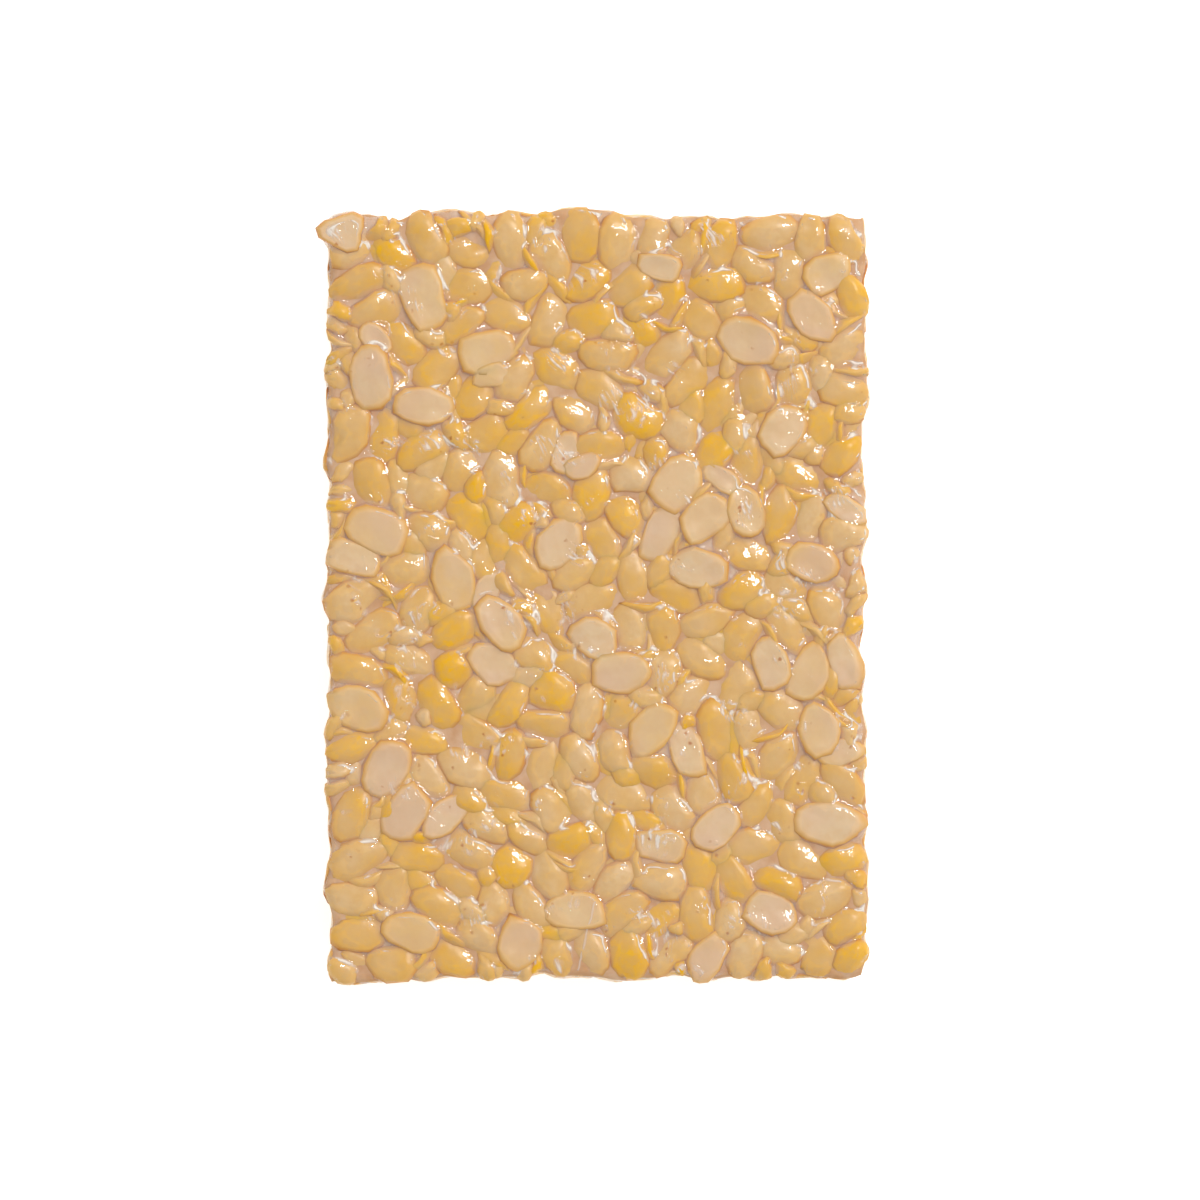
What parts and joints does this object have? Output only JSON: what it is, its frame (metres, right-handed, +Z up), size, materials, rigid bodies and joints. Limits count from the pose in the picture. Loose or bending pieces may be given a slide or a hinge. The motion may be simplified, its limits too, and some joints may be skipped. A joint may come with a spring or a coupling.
{
  "type": "tempeh cake",
  "caption": "Pressed rectangular slab of cooked whole and split soybeans bound with pale mould, drawn tight into clear film.",
  "frame": {"origin": "middle of the flat underside, in the plane that the cake rests on", "axes": "+Z up out of the bean-covered top face, +Y along the long side, +X along the short side"},
  "size_m": [0.1015, 0.1435, 0.017],
  "materials": {
    "soybeans": "moist golden soybeans, satin under the film",
    "split_faces": "pale beige cut faces of halved beans, smooth and matt",
    "mould": "matt pinkish beige mould that binds the beans",
    "film": "clear glossy film, drawn tight and creased"
  },
  "bodies": {
    "root": {"tempeh_cake": "soybeans"}
  },
  "joints": []
}
